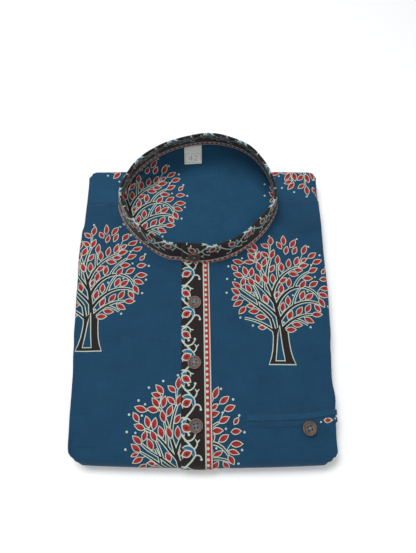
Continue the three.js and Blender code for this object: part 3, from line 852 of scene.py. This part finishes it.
def vine_repeat(start):
    """One repeat of the border's vine: across first, along second."""
    middle, swing, repeat = VINE["middle"], VINE["swing"], VINE["repeat"]
    wave = [Vector((middle + swing * sin(tau * k / 18), start + repeat * k / 18)) for k in range(19)]
    shapes = [("cream", stroke(wave, 1.5))]
    # Each branch: where it springs, its heading, length and turn, and whether it ends in a fork.
    for across, along, heading, length, turn, forked in (
            (11.6, 7.6, 62, 9.5, -165, False), (10.4, 14.2, 20, 7.5, 70, True), (3.4, 21.6, -24, 13, 110, False),
            (0.2, 26.5, 66, 9, -140, False), (0.4, 39.0, 24, 9.5, -80, True), (12.0, 11.2, 80, 6, 80, False)):
        points = growing(Vector((across, start + along)), radians(heading), length, radians(turn), steps=8)
        shapes.append(("cream", stroke(points, 1.35, 1.1)))
        tip, last = points[-1], atan2(*(points[-1] - points[-2]).yx)
        if forked:
            for fork in (-0.7, 0.7):
                shapes.append(("cream", stroke(growing(tip, last + fork, 3.0, 0.0, steps=2), 1.35, 0.7)))
        else:
            shapes.append(("cream", ring(tip.x, tip.y, 1.15, 8)))
    shapes += crescent(Vector((6.0, start + 10.8)), -30, 165, 6.3, 3.4) + bud(Vector((1.7, start + 8.6)), 30)
    shapes += crescent(Vector((5.2, start + 31.4)), 90, 165, 6.3, 3.4) + bud(Vector((1.4, start + 33.6)), -34)
    return shapes


def border_print(start, end):
    """The border cloth's print between two places along it: the vine, then a red stripe with dots."""
    shapes = []
    for number in range(int(start // VINE["repeat"]) - 1, int(end // VINE["repeat"]) + 2):
        shapes += vine_repeat(number * VINE["repeat"])
    shapes.append(("cream", band(BORDER["stripe"], BORDER["edge"], start - 1, end + 1)))
    shapes.append(("red", band(BORDER["red"], BORDER["line"], start - 1, end + 1)))
    for number in range(int(start // BORDER["dots"]), int(end // BORDER["dots"]) + 2):
        along = number * BORDER["dots"]
        shapes.append(("cream", ring(BORDER["red"] + 1.45, along, 1.35, 9)))
    return shapes


neck_angles = steps_between(COLLAR["over_end"], COLLAR["under_end"], radians(1.5))
neck_lengths = measured([neck_seam(angle).xy.to_3d() for angle in neck_angles])
COLLAR_LENGTH = neck_lengths[-1]


def neck_angle_at(length):
    at = min(len(neck_lengths) - 2, max(0, int(length / COLLAR_LENGTH * (len(neck_lengths) - 1))))
    while at > 0 and neck_lengths[at] > length:
        at -= 1
    while at < len(neck_lengths) - 2 and neck_lengths[at + 1] < length:
        at += 1
    part = (length - neck_lengths[at]) / (neck_lengths[at + 1] - neck_lengths[at])
    return mix(neck_angles[at], neck_angles[at + 1], part)


def collar_point(angle, up, out):
    """A place on the standing collar: up is 0 at its seam and 1 at its top edge."""
    under = COLLAR["step"] * smooth((degrees(angle) - 338) / 12)
    seam = neck_seam(angle)
    back = smooth((seam.y - 262) / 46)
    lean = COLLAR["height"] * sin(COLLAR["lean"]) * up + COLLAR["curl"] * back * up * up
    wobble = noise.noise(Vector((cos(angle) * 2.4, sin(angle) * 2.4, 5.0))) * 2.2 * up
    place = neck_seam(angle, out - under - lean + wobble)
    dip = noise.noise(Vector((cos(angle) * 3.1, sin(angle) * 3.1, 9.0))) * 0.9
    place.z = seam.z - 1.2 + (COLLAR["height"] * cos(COLLAR["lean"]) + dip) * up
    return place


def collar_place(u, v):
    """u runs up the outside, over the top edge and down the inside; v runs along the strip."""
    height, half = COLLAR["height"], COLLAR["half"]
    ends = min(1.0, max(0.0, min(v, COLLAR_LENGTH - v) / 1.4))
    half *= sqrt(max(0.0, 1 - (1 - ends) ** 2))
    angle = neck_angle_at(min(COLLAR_LENGTH, max(0.0, v)))
    straight, over = height - COLLAR["half"], pi * COLLAR["half"]
    if u < straight:
        return collar_point(angle, u / height, half)
    if u > straight + over:
        return collar_point(angle, (2 * straight + over - u) / height, -half)
    turn = (u - straight) / COLLAR["half"]
    place = collar_point(angle, straight / height, half * cos(turn))
    place.z += half * sin(turn)
    return place


COLLAR_FLAT = 2 * (COLLAR["height"] - COLLAR["half"]) + pi * COLLAR["half"]
outside = [(ink, [Vector((BORDER["width"] - p.x, p.y)) for p in outline])
           for ink, outline in border_print(0, COLLAR_LENGTH)]
inside = [(ink, [Vector((COLLAR_FLAT - p.x, p.y)) for p in outline]) for ink, outline in outside]
collar_rows = steps_between(0, COLLAR_LENGTH, 4)
collar_edge = [Vector((COLLAR_FLAT, v)) for v in collar_rows] + [Vector((0, v)) for v in reversed(collar_rows)]
collar_spots = grid_spots([4, 9, 14, 19, 24, 26.2, 27.3, 28, 28.7, 29.4, 30.6, 33, 38, 43, 48, 53], collar_rows[1:-1])
collar_spots += grid_spots(steps_between(1.5, COLLAR_FLAT - 1.5, 3), [0.25, 0.6, 1.1, COLLAR_LENGTH - 1.1,
                                                                     COLLAR_LENGTH - 0.6, COLLAR_LENGTH - 0.25])
collar = cut_cloth("collar_cloth", collar_edge, outside + inside, collar_spots, collar_place, ground="black")
BORDER_COTTON = cotton("border_cotton", mottle=0.10, slub=0.26)
finish_sheet(collar, BORDER_COTTON, 0.4 * MM)
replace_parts(collar, "collar_outer", "collar_inner")
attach(collar, "root")

# ------------------------------------------------------------------------------------------------
# Placket: a strip of the same border cloth, pressed double and stitched down over the front opening,
# with its dotted stripe on the wearer's left.
# ------------------------------------------------------------------------------------------------
PLACKET = {"x": -7.4, "slant": -0.0167, "from": 87.0, "width": 28.0, "lift": 1.3, "low": -16.0}


def placket_place(u, v):
    edge = min(u, PLACKET["width"] - u)
    lift = 0.15 + (PLACKET["lift"] - 0.15) * sqrt(max(0.0, 1 - (1 - min(1.0, edge / 1.2)) ** 2))
    run = max(v, 0.0)
    x = PLACKET["x"] + PLACKET["slant"] * (run - PLACKET["from"]) + u - PLACKET["width"] / 2
    return front_place(x, v, lift)


placket_top = []
for u in steps_between(PLACKET["width"], 0, 2):
    x = PLACKET["x"] + u - PLACKET["width"] / 2 - 1.7
    placket_top.append(Vector((u, neck_seam(atan2(x - NECK["x"], NECK["half"] * 0.9), 0.5).y)))
placket_rows = steps_between(PLACKET["low"], 184, 4)
placket_edge = [Vector((PLACKET["width"], v)) for v in placket_rows] + placket_top
placket_edge += [Vector((0, v)) for v in reversed(placket_rows)]
placket_spots = grid_spots([0.12, 0.4, 0.8, 1.4, 5, 9, 13, 17, 23, 26.6, 27.2, 27.6, 27.88],
                           steps_between(PLACKET["low"] + 1, 186, 2.2))
placket = cut_cloth("placket_cloth", placket_edge, border_print(PLACKET["low"], 188), placket_spots, placket_place,
                    ground="black")
finish_sheet(placket, BORDER_COTTON, 0.4 * MM)
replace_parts(placket, "placket_band")
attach(placket, "root")

# ------------------------------------------------------------------------------------------------
# Chest pocket: two welts of the printed cotton with the opening between them, running into the side
# fold, and a scrap of print where the lower welt was cut across a leaf.
# ------------------------------------------------------------------------------------------------
POCKET = {"left": 38.0, "right": 137.0, "opening": 36.4, "tilt": 0.05, "upper": 5.2, "lower": 4.8, "lift": 1.15}


def opening_at(x):
    sag = -0.7 * sin(pi * min(1.0, max(0.0, (x - POCKET["left"]) / 62)))
    rise = 2.2 * smooth((x - 92) / 24)
    return POCKET["opening"] + POCKET["tilt"] * (x - POCKET["left"]) * 0.55 + sag + rise


def welt_place(side):
    width = POCKET["upper"] if side > 0 else POCKET["lower"]

    def place(u, v):
        edge = min(v, width - v, u - POCKET["left"])
        lift = 0.1 + POCKET["lift"] * sqrt(max(0.0, 1 - (1 - min(1.0, edge / 0.9)) ** 2))
        lift += 0.25 * sin(u / 9.0) * (v / width)
        gap = 0.2 + (0.9 * smooth((u - 96) / 14) if side < 0 else 0.0)
        return front_place(u, opening_at(u) + side * (v + gap), lift)
    return place


def make_welt(name, side, node):
    width = POCKET["upper"] if side > 0 else POCKET["lower"]
    columns = steps_between(POCKET["left"], POCKET["right"], 2)
    edge = [Vector((u, 0)) for u in columns] + [Vector((u, width)) for u in reversed(columns)]
    spots = grid_spots(steps_between(POCKET["left"] + 0.4, POCKET["right"] - 0.4, 1.2),
                       [0.1, 0.3, 0.6, 1.0, 1.8, 2.6, 3.4, width - 0.9, width - 0.4, width - 0.12])
    shapes = []
    if side < 0:
        scrap = Vector((106.6, 1.9))
        shapes = [("cream", leaf_outline(scrap, 0.12, 6.0, 3.6, 0.85)), ("red", leaf_outline(scrap, 0.12, 6.0, 3.6)),
                  ("cream", ring(103.2, 3.1, 0.85, 8)), ("cream", ring(115.6, 1.4, 0.8, 8))]
    # The upper welt's ground is a lighter teal, painted light on the raised welt; the lower welt keeps the plain
    # teal.
    welt = cut_cloth(name, edge, shapes, spots, welt_place(side), ground="painted_light_teal" if side > 0 else "teal")
    if side < 0:
        for face in welt.data.polygons:
            face.flip()
    finish_sheet(welt, COTTON, 0.4 * MM)
    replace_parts(welt, node)
    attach(welt, "root")
    return welt


upper_welt = make_welt("pocket_welt_upper_cloth", 1, "pocket_welt_upper")
lower_welt = make_welt("pocket_welt_lower_cloth", -1, "pocket_welt_lower")

# ------------------------------------------------------------------------------------------------
# Size label: a white woven tape, folded and caught in the collar's seam at the back of the neck.
# ------------------------------------------------------------------------------------------------
LABEL = {"left": -22.0, "width": 18.6, "length": 25.0}
label_start = measured(back_column(LABEL["left"] + LABEL["width"] / 2))[-1] - LABEL["length"] - 1.0
INKS["white"] = (0.80, 0.82, 0.77)
INKS["grey"] = (0.34, 0.34, 0.33)


def label_place(u, v):
    skew = 0.06 * (u - LABEL["left"])
    bend = 0.9 * sin(pi * min(1.0, v / LABEL["length"]))
    return back_place(u, label_start + v + skew, 1.4 + bend)


label_edge = [Vector((LABEL["left"] + x, y)) for x, y in
              [(0, 0), (LABEL["width"], 0), (LABEL["width"], LABEL["length"]), (0, LABEL["length"])]]
frame_low, frame_high = Vector((LABEL["left"] + 1.5, 1.6)), Vector((LABEL["left"] + LABEL["width"] - 1.5, 11.6))
frame_corners = [frame_low, Vector((frame_high.x, frame_low.y)), frame_high, Vector((frame_low.x, frame_high.y))]
label_shapes = [("grey", stroke([a, b], 0.35)) for a, b in zip(frame_corners, frame_corners[1:] + frame_corners[:1])]
for digit in ([(5.4, 4.0), (5.4, 9.2), (2.4, 5.6), (6.8, 5.6)],
              [(8.6, 8.2), (9.6, 9.2), (11.2, 9.0), (11.6, 7.8), (8.6, 4.0), (11.9, 4.0)]):
    pen = [Vector((LABEL["left"] + 2.2 + x, y)) for x, y in digit]
    label_shapes += [("grey", stroke([a, b], 0.6)) for a, b in zip(pen, pen[1:])]
label_spots = grid_spots(steps_between(LABEL["left"] + 1, LABEL["left"] + LABEL["width"] - 1, 1.6),
                         steps_between(1, LABEL["length"] - 1, 1.6))
label = cut_cloth("size_label_tape", label_edge, label_shapes, label_spots, label_place, ground="white")
TAPE = cotton("label_tape", weave=0.4, mottle=0.04, slub=0.10, bump=0.15)
finish_sheet(label, TAPE, 0.4 * MM)
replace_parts(label, "size_label")
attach(label, "root")

# ------------------------------------------------------------------------------------------------
# Buttons: turned brown wood with a flat rim, a dished middle and four holes, sewn on with blue thread.
# ------------------------------------------------------------------------------------------------
BUTTON = {"radius": 6.3, "thickness": 2.2, "rim": 1.5, "dish": 0.5, "hole": 0.78, "spread": 2.1}


def select_faces(piece, wanted):
    """Selects the faces that the test wants, and leaves the piece in edit mode on faces."""
    bpy.ops.object.mode_set(mode="EDIT")
    bpy.ops.mesh.select_mode(type="FACE")
    bpy.ops.mesh.select_all(action="DESELECT")
    bpy.ops.object.mode_set(mode="OBJECT")
    for face in piece.data.polygons:
        face.select = wanted(face)
    bpy.ops.object.mode_set(mode="EDIT")


def apply_modifier(piece, kind, **settings):
    modifier = piece.modifiers.new(kind.lower(), kind)
    for key, value in settings.items():
        setattr(modifier, key, value)
    bpy.context.view_layer.objects.active = piece
    bpy.ops.object.modifier_apply(modifier=modifier.name)


def button_blank():
    """A button at the origin, its face up."""
    height = BUTTON["thickness"] * MM
    bpy.ops.mesh.primitive_cylinder_add(vertices=48, radius=BUTTON["radius"] * MM, depth=height,
                                        location=(0, 0, height / 2))
    piece = bpy.context.active_object
    bpy.ops.object.transform_apply(location=True)
    select_faces(piece, lambda face: face.normal.z > 0.9)
    bpy.ops.mesh.inset(thickness=BUTTON["rim"] * MM)
    bpy.ops.mesh.inset(thickness=0.5 * MM, depth=-BUTTON["dish"] * MM)
    bpy.ops.mesh.inset(thickness=1.6 * MM, depth=-0.12 * MM)
    bpy.ops.object.mode_set(mode="OBJECT")
    apply_modifier(piece, "BEVEL", width=0.28 * MM, segments=3, limit_method="ANGLE", angle_limit=radians(40))
    for k in range(4):
        angle = radians(45 + 90 * k)
        bpy.ops.mesh.primitive_cylinder_add(
            vertices=20, radius=BUTTON["hole"] * MM, depth=4 * height,
            location=(BUTTON["spread"] * cos(angle) * MM, BUTTON["spread"] * sin(angle) * MM, 0))
        drill = bpy.context.active_object
        apply_modifier(piece, "BOOLEAN", operation="DIFFERENCE", object=drill, solver="EXACT")
        bpy.data.objects.remove(drill)
    bpy.ops.object.select_all(action="DESELECT")
    piece.select_set(True)
    bpy.context.view_layer.objects.active = piece
    bpy.ops.object.shade_smooth_by_angle(angle=radians(35))
    return piece


def thread_blank():
    """The thread that holds a button: two strands that cross between its holes, and go down into them."""
    strands = []
    for k in range(2):
        bpy.ops.mesh.primitive_cylinder_add(vertices=10, radius=0.34 * MM, depth=1.5 * BUTTON["spread"] * MM,
                                            location=(0, 0, (BUTTON["thickness"] - 0.28 + 0.22 * k) * MM),
                                            rotation=(pi / 2, 0, radians(45 + 90 * k)))
        strand = bpy.context.active_object
        bpy.ops.object.transform_apply(location=True, rotation=True)
        select_faces(strand, lambda face: abs(face.normal.z) < 0.05 and len(face.vertices) > 4)
        bpy.ops.mesh.inset(thickness=0.08 * MM)
        bpy.ops.object.mode_set(mode="OBJECT")
        apply_modifier(strand, "BEVEL", width=0.1 * MM, segments=2)
        strands.append(strand)
    bpy.ops.mesh.primitive_uv_sphere_add(segments=16, ring_count=10, radius=0.8 * MM,
                                         location=(0, 0, (BUTTON["thickness"] - 0.34) * MM))
    knot = bpy.context.active_object
    bpy.ops.object.transform_apply(location=True)
    for strand in strands:
        strand.select_set(True)
    knot.select_set(True)
    bpy.ops.object.join()
    bpy.ops.object.shade_smooth_by_angle(angle=radians(50))
    return bpy.context.active_object


def wood_material():
    """Brown wood with rings that follow the turning, and a rubbed, half dull finish."""
    material = bpy.data.materials.new("button_wood")
    material.use_nodes = True
    nodes, links = material.node_tree.nodes, material.node_tree.links
    shader = nodes["Principled BSDF"]
    shader.inputs["Roughness"].default_value = 0.48
    shader.inputs["Specular IOR Level"].default_value = 0.4
    place = nodes.new("ShaderNodeTexCoord")
    stretch = nodes.new("ShaderNodeMapping")
    stretch.inputs["Scale"].default_value = (900, 160, 500)
    stretch.inputs["Rotation"].default_value = (0, 0, 0.5)
    links.new(place.outputs["Object"], stretch.inputs["Vector"])
    grain = nodes.new("ShaderNodeTexNoise")
    grain.inputs["Scale"].default_value = 1.0
    grain.inputs["Detail"].default_value = 4.0
    links.new(stretch.outputs["Vector"], grain.inputs["Vector"])
    colours = nodes.new("ShaderNodeValToRGB")
    colours.color_ramp.elements[0].position, colours.color_ramp.elements[1].position = 0.32, 0.72
    colours.color_ramp.elements[0].color = (0.045, 0.027, 0.019, 1)
    colours.color_ramp.elements[1].color = (0.135, 0.083, 0.060, 1)
    links.new(grain.outputs["Fac"], colours.inputs["Fac"])
    links.new(colours.outputs["Color"], shader.inputs["Base Color"])
    bump = nodes.new("ShaderNodeBump")
    bump.inputs["Strength"].default_value = 0.25
    bump.inputs["Distance"].default_value = 0.0002
    links.new(grain.outputs["Fac"], bump.inputs["Height"])
    links.new(bump.outputs["Normal"], shader.inputs["Normal"])
    return material


def thread_material(name, colour):
    """Twisted sewing thread."""
    material = bpy.data.materials.new(name)
    material.use_nodes = True
    nodes, links = material.node_tree.nodes, material.node_tree.links
    shader = nodes["Principled BSDF"]
    shader.inputs["Roughness"].default_value = 0.7
    shader.inputs["Sheen Weight"].default_value = 0.2
    place = nodes.new("ShaderNodeTexCoord")
    strands = nodes.new("ShaderNodeTexNoise")
    strands.inputs["Scale"].default_value = 3200
    links.new(place.outputs["Object"], strands.inputs["Vector"])
    colours = nodes.new("ShaderNodeValToRGB")
    colours.color_ramp.elements[0].color = (*[0.6 * c for c in colour], 1)
    colours.color_ramp.elements[1].color = (*[min(1.0, 1.3 * c) for c in colour], 1)
    links.new(strands.outputs["Fac"], colours.inputs["Fac"])
    links.new(colours.outputs["Color"], shader.inputs["Base Color"])
    return material


WOOD = wood_material()
BLUE_THREAD = thread_material("blue_thread", (0.035, 0.25, 0.48))


def placed_copy(blank, name, matrix, material):
    piece = bpy.data.objects.new(name, blank.data.copy())
    piece.data.transform(matrix)
    piece.data.materials.clear()
    piece.data.materials.append(material)
    bpy.context.collection.objects.link(piece)
    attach(piece, "root")
    return piece


button, stitch = button_blank(), thread_blank()
collar_place_of_button = collar_point(radians(-2.2), 0.48, COLLAR["half"] + 0.15)
# Each button: its place, how far its face leans towards the lower fold, and how it is turned.
BUTTONS = {"button_1": ((-9.3, 144.8), 0, 2), "button_2": ((-9.0, 87.2), 0, -4), "button_3": ((-7.1, 31.6), 0, 9),
           "button_pocket": ((92.6, 29.6), 0, 22), "button_collar": (None, 80, 12)}
for name, (spot, lean, turned) in BUTTONS.items():
    if spot is None:
        place = collar_place_of_button
    else:
        place = Vector((*spot, TOP + chest_relief(*spot) + PLACKET["lift"] + 0.1))
    matrix = Matrix.Translation(in_row(place)) @ Matrix.Rotation(radians(lean), 4, "X") \
        @ Matrix.Rotation(radians(turned), 4, "Z")
    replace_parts(placed_copy(button, name + "_wood", matrix, WOOD), name)
    placed_copy(stitch, name + "_thread", matrix, BLUE_THREAD)
bpy.data.objects.remove(button)
bpy.data.objects.remove(stitch)

# ------------------------------------------------------------------------------------------------
# Stitching: machine topstitching in dark blue thread above the pocket, where its bag is caught down.
# ------------------------------------------------------------------------------------------------
DARK_THREAD = thread_material("dark_thread", (0.004, 0.012, 0.026))
STITCH = {"length": 2.1, "gap": 1.2, "thick": 0.55}


def stitch_run(name, way, total, material):
    """A row of stitches along a way, as one joined mesh. way gives a place and its outward normal at a length."""
    points, faces = [], []
    count = int(total / (STITCH["length"] + STITCH["gap"]))
    for number in range(count):
        start = number * (STITCH["length"] + STITCH["gap"])
        for k, (part, size) in enumerate(((0, 0.45), (0.2, 0.9), (0.5, 1.0), (0.8, 0.9), (1, 0.45))):
            place, normal, ahead = way(start + STITCH["length"] * part)
            aside = normal.cross(ahead).normalized()
            arch = sin(pi * part) * 0.16 - 0.1
            for corner in range(6):
                angle = tau * corner / 6
                reach = STITCH["thick"] / 2 * size
                points.append(in_row(place + aside * cos(angle) * reach + normal * (sin(angle) * reach * 0.8 + arch)))
        first = number * 30
        for k in range(4):
            for corner in range(6):
                a, b = first + k * 6 + corner, first + k * 6 + (corner + 1) % 6
                faces.append((a, b, b + 6, a + 6))
        faces.append(tuple(first + corner for corner in range(6))[::-1])
        faces.append(tuple(first + 24 + corner for corner in range(6)))
    mesh = bpy.data.meshes.new(name)
    mesh.from_pydata(points, [], faces)
    mesh.shade_smooth()
    mesh.materials.append(material)
    piece = bpy.data.objects.new(name, mesh)
    bpy.context.collection.objects.link(piece)
    bpy.context.view_layer.objects.active = piece
    piece.select_set(True)
    bpy.ops.object.mode_set(mode="EDIT")
    bpy.ops.mesh.select_all(action="SELECT")
    bpy.ops.mesh.normals_make_consistent(inside=False)
    bpy.ops.object.mode_set(mode="OBJECT")
    piece.select_set(False)
    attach(piece, "root")


def on_surface(surface, route):
    """A way along a route of flat places, laid on a surface."""
    def way(length):
        place = surface(*route(length))
        ahead = surface(*route(length + 0.4)) - place
        u, v = route(length)
        across = surface(u + 0.3, v) - surface(u - 0.3, v)
        along = surface(u, v + 0.3) - surface(u, v - 0.3)
        return place, across.cross(along).normalized(), ahead.normalized()
    return way


bpy.ops.object.select_all(action="DESELECT")
pocket_line = on_surface(lambda u, v: front_place(u, v, 0.1), lambda s: (39 + s, opening_at(39 + s) + 8.4))
stitch_run("pocket_topstitch", pocket_line, 84, DARK_THREAD)

# ------------------------------------------------------------------------------------------------
# Floor, light and camera
# ------------------------------------------------------------------------------------------------
def area_light(name, place, aim, size, power):
    lamp = bpy.data.lights.new(name, "AREA")
    lamp.shape = "RECTANGLE"
    lamp.size, lamp.size_y = size
    lamp.energy = power
    thing = bpy.data.objects.new(name, lamp)
    bpy.context.collection.objects.link(thing)
    thing.location = place
    thing.rotation_euler = (Vector(aim) - Vector(place)).to_track_quat("-Z", "Y").to_euler()


bpy.ops.mesh.primitive_plane_add(size=6, location=(0, 0, 0))
floor = bpy.context.active_object
floor.name = "floor"
floor_material = bpy.data.materials.new("floor")
floor_material.use_nodes = True
floor_shader = floor_material.node_tree.nodes["Principled BSDF"]
floor_shader.inputs["Base Color"].default_value = (0.94, 0.94, 0.94, 1)
floor_shader.inputs["Roughness"].default_value = 0.9
floor.data.materials.append(floor_material)

area_light("key", (-0.28, 0.30, 1.30), (0, 0.06, 0), (0.6, 0.4), 12.5)
area_light("fill", (0.12, -0.45, 1.25), (0, 0.14, 0), (0.8, 0.6), 4.5)
world = bpy.data.worlds.new("studio")
bpy.context.scene.world = world
world.use_nodes = True
world.node_tree.nodes["Background"].inputs["Color"].default_value = (0.95, 0.97, 1, 1)
world.node_tree.nodes["Background"].inputs["Strength"].default_value = 0.36
bpy.context.scene.view_settings.view_transform = "Standard"

camera_data = bpy.data.cameras.new("camera")
camera_data.sensor_fit = "AUTO"
camera_data.sensor_width = 36
camera_data.lens = 31.1
camera = bpy.data.objects.new("camera", camera_data)
bpy.context.collection.objects.link(camera)
camera.location = in_row(Vector((3.4, 1.6, TOP + 438)))
camera.rotation_euler = (radians(90 - 68.7), 0, 0)
bpy.context.scene.camera = camera
